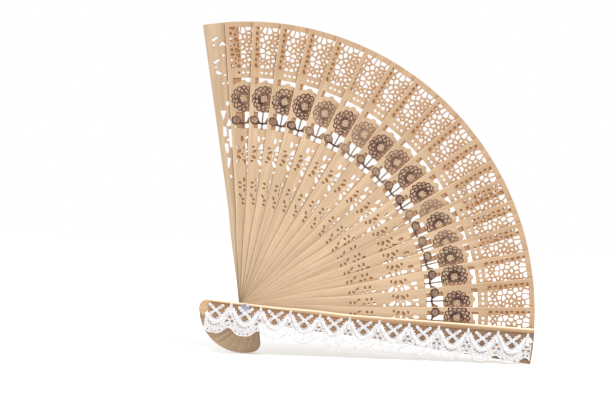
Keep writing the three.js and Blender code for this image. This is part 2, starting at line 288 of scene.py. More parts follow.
def new_material(name):
    """An empty material with its shader tree."""
    material = bpy.data.materials.new(name)
    material.use_nodes = True
    return material


def left_edge(tree, along):
    """How far a blade's left edge lies from the line through the rivet, at each place along the blade."""
    neck_left = NECK_WIDTH / 2 - blade_middle(NECK_RADIUS)
    waist_left = WAIST_WIDTH / 2 - blade_middle(WAIST_RADIUS)
    neck = {"Value": along, "From Min": NECK_RADIUS / GRAIN_TILE, "From Max": SHOULDER_RADIUS / GRAIN_TILE,
            "To Min": neck_left / GRAIN_TILE, "To Max": waist_left / GRAIN_TILE}
    narrow = add(tree, "ShaderNodeMapRange", neck).outputs["Result"]
    flare = (TIP_WIDTH / 2 - waist_left) / (TIP_RADIUS - WAIST_RADIUS)
    flared = calc(tree, "MULTIPLY_ADD", along, flare, (waist_left - flare * WAIST_RADIUS) / GRAIN_TILE)
    return calc(tree, "MAXIMUM", flared, narrow)


def shaded(tree, colour):
    """Wood beside and under the next blade: painted shade for the shadow that blade casts, browner where
    covered, partly as wood that kept more of its first brown and partly as painted shade, and a painted
    highlight along its own left edge.
    """
    place = add(tree, "ShaderNodeUVMap", uv_map="blade").outputs["UV"]
    across, along, _ = add(tree, "ShaderNodeSeparateXYZ", {0: place}).outputs
    step = add(tree, "ShaderNodeAttribute", attribute_name="step").outputs["Fac"]
    edge = left_edge(tree, along)
    beyond = calc(tree, "SUBTRACT", across, calc(tree, "MULTIPLY", along, step))
    past = calc(tree, "ADD", beyond, edge)
    # Painted shade: darker towards the next blade's left edge, standing for the shadow that blade casts.
    beside = calc(tree, "MULTIPLY", fade(tree, past, -0.034, 0.0, 0.0, 0.42), fade(tree, along, 0.3, 1.3))
    broad = calc(tree, "MULTIPLY", fade(tree, along, 1.18, 1.24), fade(tree, along, 1.64, 1.6))
    # Browner where the next blade covers it: partly wood kept from fading, partly painted shade seen through
    # that blade's openings.
    under_tan_and_shade = calc(tree, "MULTIPLY", fade(tree, past, 0.0, 0.005, 0.0, 0.7), fade(tree, along, 0.3, 0.9))
    tan_and_shade_colour = mixed(tree, broad, tint(150, 98, 54), tint(146, 104, 74))
    colour = mixed(tree, beside, colour, tint(148, 106, 72))
    colour = mixed(tree, under_tan_and_shade, colour, tan_and_shade_colour)
    # Painted highlight: a paler strip along this blade's own left edge.
    painted_edge_highlight = fade(tree, calc(tree, "ADD", across, edge), 0.008, 0.002, 0.0, 0.35)
    painted_edge_highlight = calc(tree, "MULTIPLY", painted_edge_highlight, fade(tree, along, 0.2, 0.6))
    return mixed(tree, painted_edge_highlight, colour, tint(208, 188, 162))


def step_to_next(node, following):
    """The sine of the turn from one blade to the next in front of it."""
    return math.sin(blade_angle(node) - blade_angle(following))


def shade_front(mesh, step):
    """Tells the material, for its painted shade, how far off the next blade is, on the front alone: nothing
    lies over the back.
    """
    value_on_points(mesh, "step", [step if vert.co.y < 0 else 1.0 for vert in mesh.vertices])


def cut_out(bm, front, corners, softening):
    """The edge of a punched opening with straight or scalloped sides, its corners softened a little."""
    face = bm.faces.new([bm.verts.new((across, front, TIP_RADIUS - depth)) for across, depth in corners])
    softened = bmesh.ops.bevel(
        bm, geom=face.verts[:], offset=softening, affect="VERTICES", segments=2, profile=0.5, material=-1,
        clamp_overlap=True)
    bmesh.ops.remove_doubles(bm, verts=softened["verts"], dist=0.05)
    face = next(vert for vert in softened["verts"] if vert.is_valid).link_faces[0]
    edges = face.edges[:]
    bmesh.ops.delete(bm, geom=[face], context="FACES_ONLY")
    return edges


def guard_openings(bm, front):
    """Butterflies, dots and a chevron near the tip, then a diamond and tall windows down to the waist."""
    loops = pin_hole(bm, front)
    chevron = ((0, 12.9), (1.5, 14.2), (2.5, 16.0), (1.2, 16.2), (0, 15.3), (-1.2, 16.2), (-2.5, 16.0),
               (-1.5, 14.2))
    loops += cut_out(bm, front, chevron, 0.3)
    diamond = ((0, 54.2), (1.5, 56.2), (0, 58.2), (-1.5, 56.2))
    loops += cut_out(bm, front, diamond, 0.25)
    loops += cut_out(bm, front, ((0, 66.4), (2.5, 72.0), (-2.5, 72.0)), 0.3)
    cross = ((-1.1, 74.0), (1.1, 74.0), (1.1, 80.6), (2.6, 80.6), (2.6, 82.4), (1.1, 82.4), (0.9, 87.0),
             (-0.9, 87.0), (-1.1, 82.4), (-2.6, 82.4), (-2.6, 80.6), (-1.1, 80.6))
    loops += cut_out(bm, front, cross, 0.25)
    for depth, size in ((22.6, 2.0), (36.2, 1.9)):
        loops += opening(bm, front, 0, TIP_RADIUS - depth, size, size)
    for side in (-1, 1):
        wing = ((3.0, 8.9), (7.0, 10.6), (7.3, 12.0), (5.4, 12.6), (4.7, 11.3), (3.0, 11.0))
        loops += cut_out(bm, front, [(side * across, depth) for across, depth in wing], 0.5)
        loops += opening(bm, front, side * 6.0, TIP_RADIUS - 14.9, 2.0, 2.0)
        loops += cut_out(bm, front, [(side * across, depth + 15.6) for across, depth in wing], 0.5)
        loops += opening(bm, front, side * 6.0, TIP_RADIUS - 30.4, 1.6, 1.6)
        loops += opening(bm, front, side * 4.4, TIP_RADIUS - 34.4, 4.8, 2.2, lean=side * -28, sides=12)
        loops += opening(bm, front, side * 1.7, TIP_RADIUS - 42.0, 1.8, 1.8)
        hanging = ((1.2, 60.8), (5.5, 60.8), (3.8, 68.2))
        tall = ((2.2, 72.9), (4.6, 71.6), (4.9, 79.0), (2.2, 79.0))
        narrow = ((1.9, 84.0), (4.6, 83.6), (4.3, 88.4), (3.2, 91.2), (2.0, 89.6))
        low = ((0.9, 94.4), (3.4, 93.6), (3.9, 99.6), (2.8, 101.6))
        for window, softening in ((hanging, 0.4), (tall, 0.3), (narrow, 0.3), (low, 0.3)):
            loops += cut_out(bm, front, [(side * across, depth) for across, depth in window], softening)
        loops += opening(bm, front, side * 2.0, TIP_RADIUS - 107.0, 1.5, 2.6, lean=side * 25)
    return loops


back_wood = new_material("pale guard wood")
back_colour, back_height = grain(back_wood.node_tree, tint(171, 149, 124), tint(155, 130, 103))
wood_shader(back_wood, shaded(back_wood.node_tree, back_colour), back_height, 0.55)
back_mesh = blade_mesh("back_guard_blade", thickness_of("back_guard"), GUARD_ROUND, 4, guard_openings)
value_on_points(back_mesh, "tone_and_shade", [GUARD_TONE] * len(back_mesh.vertices))
shade_front(back_mesh, step_to_next("back_guard", "stick_01"))
place_blade(back_mesh, "back_guard", "back_guard", back_wood)


# Sticks
# Eighteen thin blades of the same wood, stacked with a hair's slack. Each is stamped out in one stroke
# with a net at the tip, a scalloped slot, a window crossed by a stem, a rosette and a sprig, and then
# printed with a brown flower.
STICK_COUNT = 18
STICK_ROUND = 0.12
STICK_SLACK = 0.02
PRINT_STRENGTH = (
    0.9, 1.0, 0.95, 1.0, 0.75, 0.95, 0.65, 0.9, 0.8, 0.9, 1.0, 0.6, 0.95, 0.8, 0.9, 1.0, 1.0, 1.0)
PRINT_ASIDE = (
    0.2, 0.2, 0.0, 0.0, 0.1, 0.0, 0.1, 0.1, 0.1, -0.2, 0.2, 0.4, 0.3, 0.8, -0.3, -1.8, 2.4, -2.4)

# Middles of the net's openings, large and small: place across the stick and depth below the tip.
NET_LEAVES = (
    (-3.5, 6.2), (0.3, 6.7), (4.0, 5.2), (7.8, 6.3), (-1.4, 10.9), (-4.8, 12.7), (-2.9, 16.5), (-4.2, 20.1),
    (0.4, 24.2), (-3.1, 23.8), (1.1, 21.2), (-2.8, 30.8), (0.8, 30.7), (4.6, 26.5), (6.3, 19.2))
NET_DOTS = (
    (-6.3, 5.2), (-5.6, 9.0), (4.4, 8.0), (1.4, 10.5), (4.6, 10.8), (6.4, 12.4), (0.0, 13.8), (4.8, 14.1),
    (-6.0, 15.9), (3.0, 15.9), (6.3, 15.9), (-0.3, 17.7), (3.0, 19.3), (4.6, 21.3), (3.8, 23.7), (7.0, 24.9),
    (-5.1, 25.8), (-3.0, 27.2), (1.4, 27.4), (-1.0, 28.8), (-4.9, 29.2), (3.7, 29.7), (6.5, 28.5),
    (8.4, 10.0), (8.5, 14.2), (8.3, 17.6), (8.2, 21.9), (6.6, 31.2), (-7.9, 8.5), (-7.9, 12.4),
    (-8.0, 16.0), (-7.4, 19.6), (-6.9, 23.0), (-7.3, 26.4), (-7.0, 30.2))
NET_TOP = 3.7
NET_BOTTOM = 32.0
NET_HALF_TOP = 9.4
NET_HALF_BOTTOM = 8.0
LEAF_WEB = 0.85
DOT_WEB = 1.65
NET_REACH = 9.0
FLOWER_ACROSS = 0.15
FLOWER_DEPTH = 53.4
FLOWER_RADIUS = 8.9
MIDDLE_RING = 6.9
INNER_RING = 4.8
CENTRE_RADIUS = 2.7
STEM_ACROSS = 0.5
STEM_HALF = 0.5
WINDOW_TOP = 62.7
WINDOW_BOTTOM = 74.0
WINDOW_HALF = 6.3
LEAF_ACROSS = 5.3
LEAF_DEPTH = 68.3
TWIG_DEPTH = 70.5


def net_cell(middle, web):
    """The room about one middle of the net, up to half its web from halfway to each of the others."""
    cell = bmesh.new()
    area = ((-NET_HALF_TOP, NET_TOP), (NET_HALF_TOP, NET_TOP),
            (NET_HALF_BOTTOM, NET_BOTTOM), (-NET_HALF_BOTTOM, NET_BOTTOM))
    cell.faces.new([cell.verts.new((across, depth, 0)) for across, depth in area])
    own = Vector((*middle, 0))
    for other in NET_LEAVES + NET_DOTS:
        between = Vector((*other, 0)) - own
        if 0 < between.length < NET_REACH:
            web_edge = own + between / 2 - between.normalized() * web / 2
            whole = cell.verts[:] + cell.edges[:] + cell.faces[:]
            bmesh.ops.bisect_plane(cell, geom=whole, plane_co=web_edge, plane_no=between, clear_outer=True)
    bmesh.ops.dissolve_degenerate(cell, dist=0.35, edges=cell.edges)
    corners = [tuple(vert.co.xy) for vert in cell.faces[:][0].verts]
    cell.free()
    return corners


def slot_corners():
    """The slot under the net: straight above, with a high scallop between two low ones below."""
    top = ((-6.9, 39.0), (7.3, 39.0))
    scallops = ((7.3, 43.5), (5.6, 42.9), (4.6, 42.1), (3.2, 42.1), (2.3, 41.7), (1.8, 40.8), (0.4, 40.3))
    left = ((-1.0, 40.8), (-1.5, 41.7), (-2.4, 42.1), (-4.1, 42.1), (-5.2, 43.0), (-6.9, 43.7))
    return (*top, *scallops, *left)


def window_corners(side, upper):
    """A quarter of the window on one side of the stem, with the leaf's round edge along it."""
    stem = STEM_ACROSS + side * STEM_HALF
    wall = STEM_ACROSS + side * WINDOW_HALF
    if upper:
        leaf = ((WINDOW_HALF, 65.5), (5.0, 65.6), (3.6, 66.1), (2.7, 67.2), (2.2, 68.6), (1.3, 69.7))
        ends = ((wall, WINDOW_TOP), (stem, WINDOW_TOP))
        twig = (stem, 70.0)
    else:
        leaf = ((WINDOW_HALF, 71.4), (5.2, 71.2), (3.8, 70.9), (2.0, 70.9))
        ends = ((wall, WINDOW_BOTTOM), (stem, WINDOW_BOTTOM))
        twig = (stem, 71.1)
    edge = tuple((STEM_ACROSS + side * across, depth) for across, depth in leaf)
    return (*ends, twig, *reversed(edge))


def stick_openings(bm, front):
    """Every opening of a stick, from the pin hole to the net at the tip."""
    loops = pin_hole(bm, front)
    for middle in NET_LEAVES:
        loops += cut_out(bm, front, net_cell(middle, LEAF_WEB), 0.5)
    for middle in NET_DOTS:
        loops += cut_out(bm, front, net_cell(middle, DOT_WEB), 0.6)
    for across in (-2.8, 0.3, 3.7):
        loops += opening(bm, front, across, TIP_RADIUS - 35.4, 1.9, 1.8)
    loops += cut_out(bm, front, slot_corners(), 0.3)
    for side in (-1, 1):
        for upper in (True, False):
            loops += cut_out(bm, front, window_corners(side, upper), 0.25 if upper else 0.6)
    upper_kite = ((1.0, 84.6), (2.3, 84.6), (2.7, 88.3), (-0.9, 88.4), (0.2, 86.6))
    lower_kite = ((-0.9, 95.6), (0.6, 95.8), (2.5, 97.3), (2.4, 99.6), (1.2, 99.6), (0.1, 98.0))
    for kite in (upper_kite, lower_kite):
        loops += cut_out(bm, front, kite, 0.3)
    for across, depth, width, length, lean in (
            (-1.1, 81.4, 2.1, 4.2, 0), (2.3, 80.5, 2.2, 1.7, -40), (-4.2, 87.0, 2.2, 1.4, -20),
            (-3.2, 90.1, 3.4, 2.0, -40), (1.7, 90.2, 2.4, 1.6, -10), (-0.9, 91.8, 1.6, 1.3, 0),
            (-3.4, 94.0, 3.4, 2.1, 40), (1.5, 94.0, 2.3, 1.7, 10), (-4.4, 96.8, 2.3, 1.4, 15),
            (1.9, 103.1, 1.6, 1.7, 0),
            (0.1, 109.7, 1.8, 2.9, 0), (-2.9, 111.8, 2.3, 1.6, 25), (0.1, 113.8, 1.5, 1.5, 0),
            (-2.9, 115.0, 2.1, 1.5, -15), (0.2, 117.0, 1.3, 2.2, 0), (-2.7, 120.6, 1.3, 3.2, -32),
            (-1.0, 123.3, 2.1, 1.7, -30), (-0.9, 126.3, 2.5, 1.4, 30)):
        loops += opening(bm, front, across, TIP_RADIUS - depth, width, length, lean, sides=12)
    return loops


def browned_at_tip(tree, colour):
    """The net and the tip about it drawn browner in patches, most of all on the thin webs, and the wood
    darker towards the tip.
    """
    place = add(tree, "ShaderNodeUVMap", uv_map="blade").outputs["UV"]
    across, along, _ = add(tree, "ShaderNodeSeparateXYZ", {0: place}).outputs
    depth = calc(tree, "MULTIPLY_ADD", along, -GRAIN_TILE, TIP_RADIUS)
    side = calc(tree, "MULTIPLY", calc(tree, "ABSOLUTE", across), GRAIN_TILE)
    patches = fade(tree, noise(tree, place, 55.0, 2.0), 0.3, 0.7, 0.25, 0.6)
    under_rail = fade(tree, depth, NET_TOP - 0.8, NET_TOP + 0.6)
    over_dots = fade(tree, depth, NET_BOTTOM + 0.6, NET_BOTTOM - 0.4)
    in_net = calc(tree, "MULTIPLY", under_rail, over_dots)
    in_net = calc(tree, "MULTIPLY", in_net, fade(tree, side, 9.2, 8.2))
    colour = mixed(tree, calc(tree, "MULTIPLY", in_net, patches), colour, tint(148, 108, 76))
    near_tip = fade(tree, depth, NET_BOTTOM + 5, NET_BOTTOM - 1, 0.0, 0.22)
    colour = mixed(tree, near_tip, colour, tint(150, 106, 70))
    return mixed(tree, fade(tree, depth, 80.0, 40.0, 0.0, 0.22), colour, tint(140, 112, 86))


def petals(tree, radius, angle, count, inner, outer, turn):
    """A ring of round-ended petals: their outlines, and how far inside them a place is."""
    narrow = math.sin(math.pi / count)
    end_centre = outer / (1 + narrow)
    end_radius = end_centre * narrow
    turns = calc(tree, "FRACT", calc(tree, "MULTIPLY_ADD", angle, count / math.tau, turn + count))
    aside = calc(tree, "ABSOLUTE", calc(tree, "SUBTRACT", turns, 0.5))
    across = calc(tree, "MULTIPLY", calc(tree, "MULTIPLY", aside, math.tau / count), radius)
    along = calc(tree, "MAXIMUM", calc(tree, "SUBTRACT", radius, end_centre), 0.0)
    squares = calc(tree, "ADD", calc(tree, "POWER", across, 2.0), calc(tree, "POWER", along, 2.0))
    reach = calc(tree, "SQRT", squares)
    room = calc(tree, "MINIMUM", calc(tree, "MULTIPLY", radius, math.pi / count), end_radius)
    inside = calc(tree, "SUBTRACT", room, reach)
    outline = fade(tree, calc(tree, "ABSOLUTE", inside), 0.54, 0.3)
    return calc(tree, "MULTIPLY", outline, fade(tree, radius, inner - 0.1, inner + 0.1)), inside


def printed(tree, colour):
    """The brown print over the wood: a full flower, and the window's stem, twig and two leaves."""
    place = add(tree, "ShaderNodeUVMap", uv_map="blade").outputs["UV"]
    ink = add(tree, "ShaderNodeAttribute", attribute_name="ink").outputs["Fac"]
    tone_and_shade = add(tree, "ShaderNodeAttribute", attribute_name="tone_and_shade").outputs["Fac"]
    own = add(tree, "ShaderNodeCombineXYZ", {"Z": calc(tree, "MULTIPLY", tone_and_shade, 90.0)}).outputs[0]
    stamp = add(tree, "ShaderNodeVectorMath", {0: place, 1: own}).outputs[0]
    hand = add(tree, "ShaderNodeTexNoise", {"Vector": stamp, "Scale": 42.0, "Detail": 1.0}).outputs["Color"]
    unsteady = add(tree, "ShaderNodeVectorMath", {0: hand, 1: (0.016, 0.016, 0.0), 2: place},
                   operation="MULTIPLY_ADD").outputs[0]
    split = add(tree, "ShaderNodeSeparateXYZ", {0: unsteady}).outputs
    across = calc(tree, "MULTIPLY_ADD", split["X"], GRAIN_TILE, -0.8)
    depth = calc(tree, "MULTIPLY_ADD", split["Y"], -GRAIN_TILE, TIP_RADIUS + 0.8)

    def around(centre_across, centre_depth, wide=1.0, long=1.0):
        side = calc(tree, "DIVIDE", calc(tree, "SUBTRACT", across, centre_across), wide)
        below = calc(tree, "DIVIDE", calc(tree, "SUBTRACT", depth, centre_depth), long)
        squares = calc(tree, "ADD", calc(tree, "POWER", side, 2.0), calc(tree, "POWER", below, 2.0))
        return calc(tree, "SQRT", squares), calc(tree, "ARCTAN2", below, side)

    def most(*masks):
        top = masks[0]
        for mask in masks[1:]:
            top = calc(tree, "MAXIMUM", top, mask)
        return top

    aside = add(tree, "ShaderNodeAttribute", attribute_name="aside").outputs["Fac"]
    radius, angle = around(calc(tree, "ADD", aside, FLOWER_ACROSS), FLOWER_DEPTH, 0.93, 1.0)
    off_centre = fade(tree, radius, CENTRE_RADIUS - 0.2, CENTRE_RADIUS + 0.2, 0.2, 1.0)
    wash = calc(tree, "MULTIPLY", fade(tree, radius, FLOWER_RADIUS, FLOWER_RADIUS - 0.6), off_centre)
    inner_ring, inner_inside = petals(tree, radius, angle, 8, 2.8, INNER_RING, 0.25)
    middle_ring, middle_inside = petals(tree, radius, angle, 11, 3.4, MIDDLE_RING, 0.6)
    middle_ring = calc(tree, "MULTIPLY", middle_ring, fade(tree, inner_inside, 0.1, -0.15))
    outer_ring, _ = petals(tree, radius, angle, 14, 4.6, FLOWER_RADIUS, 0.0)
    outer_ring = calc(tree, "MULTIPLY", outer_ring, fade(tree, middle_inside, 0.1, -0.15))
    to_left = calc(tree, "COSINE", calc(tree, "SUBTRACT", angle, math.radians(150)))
    dark_side = fade(tree, to_left, -0.7, 0.5, 0.75, 1.0)
    heart = calc(tree, "MULTIPLY", fade(tree, radius, 6.0, 3.4), fade(tree, radius, 2.5, 2.8))
    flower = most(inner_ring, middle_ring, outer_ring, calc(tree, "MULTIPLY", heart, dark_side))
    waves = calc(tree, "COSINE", calc(tree, "MULTIPLY_ADD", angle, 4.0, 1.0))
    from_rim = calc(tree, "ABSOLUTE", calc(tree, "SUBTRACT", radius, CENTRE_RADIUS))
    rim = calc(tree, "MULTIPLY", fade(tree, waves, -0.6, 0.4, 0.4, 1.0), fade(tree, from_rim, 0.5, 0.2))
    strokes = fade(tree, calc(tree, "COSINE", calc(tree, "MULTIPLY", angle, 5.0)), 0.0, 0.5)
    from_dots = calc(tree, "ABSOLUTE", calc(tree, "SUBTRACT", radius, CENTRE_RADIUS - 1.3))
    dots = calc(tree, "MULTIPLY", strokes, fade(tree, from_dots, 0.55, 0.25, 0.0, 0.85))
    flower = most(flower, rim, dots)

    from_stem = calc(tree, "ABSOLUTE", calc(tree, "SUBTRACT", across, STEM_ACROSS))
    leaf = None
    for side in (-1, 1):
        centre = STEM_ACROSS + side * LEAF_ACROSS
        reach, _ = around(centre, LEAF_DEPTH, 3.5, 2.95)
        edge = fade(tree, calc(tree, "ABSOLUTE", calc(tree, "SUBTRACT", reach, 0.87)), 0.24, 0.12)
        beside = calc(tree, "SUBTRACT", across, centre)
        below = calc(tree, "SUBTRACT", depth, LEAF_DEPTH)
        rising = calc(tree, "SINE", calc(tree, "MULTIPLY", calc(tree, "ADD", beside, below), 3.2))
        falling = calc(tree, "SINE", calc(tree, "MULTIPLY", calc(tree, "SUBTRACT", beside, below), 3.2))
        veins = fade(tree, calc(tree, "MAXIMUM", rising, falling), 0.4, 0.85, 0.1, 0.9)
        veins = calc(tree, "MULTIPLY", veins, fade(tree, reach, 1.0, 0.9))
        wash = calc(tree, "MAXIMUM", wash, fade(tree, reach, 1.0, 0.9))
        leaf = most(edge, veins) if leaf is None else most(leaf, edge, veins)

    below_top = fade(tree, depth, WINDOW_TOP - 1.4, WINDOW_TOP - 0.9)
    above_bottom = fade(tree, depth, WINDOW_BOTTOM + 0.8, WINDOW_BOTTOM + 0.3)
    in_window = calc(tree, "MULTIPLY", below_top, above_bottom)
    stem = calc(tree, "MULTIPLY", fade(tree, from_stem, 1.3, 0.9, 0.0, 0.68), in_window)
    sag = calc(tree, "MULTIPLY_ADD", calc(tree, "POWER", from_stem, 2.0), -0.03, TWIG_DEPTH)
    from_twig = calc(tree, "ABSOLUTE", calc(tree, "SUBTRACT", depth, sag))
    twig = calc(tree, "MULTIPLY", fade(tree, from_twig, 1.0, 0.6), fade(tree, from_stem, 3.6, 2.8))
    marks = most(flower, leaf, stem)

    speckle = fade(tree, noise(tree, stamp, 90.0, 2.0), 0.25, 0.5, 0.85, 1.0)
    patchy = fade(tree, noise(tree, stamp, 16.0, 1.0), 0.3, 0.5, 0.8, 1.0)
    worn = calc(tree, "MULTIPLY", speckle, patchy)
    uneven = fade(tree, noise(tree, stamp, 34.0, 1.0), 0.35, 0.65, 0.08, 0.5)
    wash = calc(tree, "MULTIPLY", wash, uneven)
    washed = mixed(tree, calc(tree, "MULTIPLY", wash, ink), colour, tint(120, 72, 62))
    strength = calc(tree, "MULTIPLY", most(calc(tree, "MULTIPLY", marks, worn), twig), ink)
    return mixed(tree, strength, washed, tint(44, 12, 14))


stick_wood = new_material("stamped stick wood")
stick_colour, stick_height = grain(stick_wood.node_tree, tint(182, 157, 129), tint(162, 135, 107))
stick_colour = printed(stick_wood.node_tree, browned_at_tip(stick_wood.node_tree, stick_colour))
wood_shader(stick_wood, shaded(stick_wood.node_tree, stick_colour), stick_height, 0.6)
stick_pitch = (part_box("stick_01")[0].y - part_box("stick_02")[0].y) / MM
stick_thickness = stick_pitch - STICK_SLACK
stick_pattern = blade_mesh("stick_pattern", stick_thickness, STICK_ROUND, 1, stick_openings)
draw = random.Random(18)
for number in range(1, STICK_COUNT + 1):
    node = f"stick_{number:02d}"
    stick_mesh = stick_pattern.copy()
    stick_mesh.name = f"{node}_blade"
    # Each stick's random tone, less a painted shade that darkens the sticks step by step towards the right.
    tone_and_shade = draw.uniform(0.4, 1.0) - 0.4 * number / STICK_COUNT
    value_on_points(stick_mesh, "tone_and_shade", [tone_and_shade] * len(stick_mesh.vertices))
    following = f"stick_{number + 1:02d}" if number < STICK_COUNT else "front_guard"
    shade_front(stick_mesh, step_to_next(node, following))
    strength = PRINT_STRENGTH[number - 1]
    front_plane = STICK_ROUND / 2 - stick_thickness / 2
    ink = [strength if vert.co.y < front_plane else 0.0 for vert in stick_mesh.vertices]
    value_on_points(stick_mesh, "ink", ink)
    value_on_points(stick_mesh, "aside", [PRINT_ASIDE[number - 1]] * len(stick_mesh.vertices))
    place_blade(stick_mesh, node, node, stick_wood)
bpy.data.meshes.remove(stick_pattern)


# Front guard
# The frontmost blade, as thick as the back guard but left whole, of a warmer wood. The lace is glued along
# its face, and only its rounded upper edge and the wood between the lace's points stay bare.
FRONT_TONE = 0.5
FRONT_HALF_END = 0.05
BARE_LINE = -2.8
BARE_LINE_TIP = -9.1
BARE_TURN = 90.0
BARE_HEAD = -24.5
front_wood = new_material("warm guard wood")
front_tree = front_wood.node_tree
# The face's browns are darker than the bare band's, partly as painted shade on the face below the lit upper
# edge.
near_colour, face_height = grain(front_tree, tint(150, 112, 79), tint(128, 92, 60))
far_colour, _ = grain(front_tree, tint(128, 100, 75), tint(106, 80, 57))
edge_colour, _ = grain(front_tree, tint(182, 151, 116), tint(165, 132, 96))
front_place = add(front_tree, "ShaderNodeUVMap", uv_map="blade").outputs["UV"]
front_across, front_along, _ = add(front_tree, "ShaderNodeSeparateXYZ", {0: front_place}).outputs
bare_inputs = {"Value": front_along, "From Min": BARE_TURN / GRAIN_TILE, "From Max": TIP_RADIUS / GRAIN_TILE,
               "To Min": BARE_LINE / GRAIN_TILE, "To Max": BARE_LINE_TIP / GRAIN_TILE}
bare_line = add(front_tree, "ShaderNodeMapRange", bare_inputs).outputs["Result"]
below_line = calc(front_tree, "SUBTRACT", front_across, bare_line)
past_head = fade(front_tree, front_along, BARE_HEAD / GRAIN_TILE - 0.01, BARE_HEAD / GRAIN_TILE + 0.01)
on_front = add(front_tree, "ShaderNodeAttribute", attribute_name="front").outputs["Fac"]
past_head = calc(front_tree, "MULTIPLY", past_head, on_front)
# The face below the bare line takes the darker browns: partly wood under the glued lace, partly painted
# shade.
covered_and_shaded = calc(front_tree, "MULTIPLY", fade(front_tree, below_line, -0.002, 0.002), past_head)
face_colour = mixed(front_tree, fade(front_tree, front_along, 0.2, 1.6), near_colour, far_colour)
# Painted shadow: a thin dark line where the bare band meets the face.
from_shadow_line = calc(front_tree, "ABSOLUTE", calc(front_tree, "SUBTRACT", below_line, 0.003))
painted_shadow_line = fade(front_tree, from_shadow_line, 0.006, 0.002)
face_colour = mixed(front_tree, calc(front_tree, "MULTIPLY", painted_shadow_line, 0.6), face_colour, tint(84, 56, 36))
from_edge = calc(front_tree, "ADD", front_across, left_edge(front_tree, front_along))
# Painted shade: the bare band darkens down from its upper edge, as a rounded edge turning from the light.
painted_band_shade = calc(front_tree, "MULTIPLY", fade(front_tree, from_edge, 0.006, 0.03, 0.0, 0.6), past_head)
edge_colour = mixed(front_tree, painted_band_shade, edge_colour, face_colour)
# Painted highlight: a pale strip along the rounded upper edge.
painted_rim_highlight = fade(front_tree, from_edge, 0.014, 0.004, 0.0, 0.85)
edge_colour = mixed(front_tree, painted_rim_highlight, edge_colour, tint(226, 208, 184))
wood_shader(front_wood, mixed(front_tree, covered_and_shaded, edge_colour, face_colour), face_height, 0.5)
front_mesh = blade_mesh("front_guard_blade", thickness_of("front_guard"), GUARD_ROUND, 4, pin_hole)
value_on_points(front_mesh, "tone_and_shade", [FRONT_TONE] * len(front_mesh.vertices))
front_half = [1.0 if vert.co.y < FRONT_HALF_END else 0.0 for vert in front_mesh.vertices]
value_on_points(front_mesh, "front", front_half)
place_blade(front_mesh, "front_guard", "front_guard", front_wood)


# Rivet and washer
# A steel pin with a low domed head on the front guard. Its tail is set over a small dished washer behind the
# back guard, so the blades are held together and still turn.
PIN_RADIUS = 1.5
TAIL_RADIUS = 2.5
WASHER_HOLE = 1.75
SEAT_GAP = 0.1
ROUND_STEPS = 40


def turned(name, node, profile, material):
    """A piece turned on a lathe about the pin's axis, from its profile of radius and depth."""
    bm = bmesh.new()
    points = [bm.verts.new((radius, depth, 0)) for radius, depth in profile]
    line = [bm.edges.new(pair) for pair in zip(points, points[1:])]
    bmesh.ops.spin(bm, geom=points + line, cent=(0, 0, 0), axis=(0, 1, 0), angle=math.tau, steps=ROUND_STEPS,
                   use_merge=True)
    bmesh.ops.remove_doubles(bm, verts=bm.verts, dist=1e-4)
    bmesh.ops.recalc_face_normals(bm, faces=bm.faces)
    mesh = bpy.data.meshes.new(name)
    bm.to_mesh(mesh)
    bm.free()
    mesh.transform(Matrix.Scale(MM, 4))
    mesh.materials.append(material)
    mesh.shade_smooth()
    piece = bpy.data.objects.new(name, mesh)
    bpy.context.collection.objects.link(piece)
    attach(piece, "front_guard")
    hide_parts(node)


steel = new_material("brushed steel")
steel_tree = steel.node_tree
steel_place = add(steel_tree, "ShaderNodeTexCoord").outputs["Object"]
scratches = noise(steel_tree, steel_place, 2600.0, 3.0)
# Patches of darker steel: partly tarnish, partly painted dark reflections of the room.
tarnish_and_reflection = fade(steel_tree, noise(steel_tree, steel_place, 420.0, 2.0), 0.35, 0.65)
steel_colour = mixed(steel_tree, tarnish_and_reflection, tint(112, 118, 130), tint(178, 184, 194))
steel_shader = steel_tree.nodes["Principled BSDF"]
steel_shader.inputs["Metallic"].default_value = 1.0
steel_tree.links.new(steel_colour, steel_shader.inputs["Base Color"])
steel_tree.links.new(fade(steel_tree, scratches, 0.3, 0.7, 0.2, 0.42), steel_shader.inputs["Roughness"])
steel_bump = add(steel_tree, "ShaderNodeBump", {"Height": scratches, "Strength": 0.2, "Distance": 0.05 * MM})
steel_tree.links.new(steel_bump.outputs[0], steel_shader.inputs["Normal"])

rivet_low, rivet_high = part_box("rivet")
head_radius = (rivet_high.x - rivet_low.x) / 2 / MM
head_front = rivet_low.y / MM
head_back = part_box("front_guard")[0].y / MM - SEAT_GAP
tail_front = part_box("rivet_washer")[1].y / MM + SEAT_GAP
tail_back = rivet_high.y / MM
turned("rivet_pin", "rivet", (
    (0, head_front), (head_radius * 0.45, head_front + 0.06), (head_radius * 0.78, head_front + 0.2),
    (head_radius * 0.95, head_front + 0.42), (head_radius, head_front + 0.62),
    (head_radius * 0.97, head_back), (PIN_RADIUS, head_back), (PIN_RADIUS, tail_front),
    (TAIL_RADIUS - 0.15, tail_front), (TAIL_RADIUS, tail_front + 0.25),
    (TAIL_RADIUS - 0.2, tail_back - 0.35), (TAIL_RADIUS - 1.0, tail_back - 0.06), (0, tail_back)), steel)
washer_low, washer_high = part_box("rivet_washer")
washer_radius = (washer_high.x - washer_low.x) / 2 / MM
washer_front = washer_low.y / MM
washer_back = washer_high.y / MM
turned("rivet_burr", "rivet_washer", (
    (WASHER_HOLE, washer_front), (washer_radius - 0.15, washer_front), (washer_radius, washer_front + 0.15),
    (washer_radius - 0.1, washer_back - 0.12), (washer_radius - 0.6, washer_back),
    (WASHER_HOLE + 0.2, washer_back), (WASHER_HOLE, washer_back - 0.15), (WASHER_HOLE, washer_front)), steel)


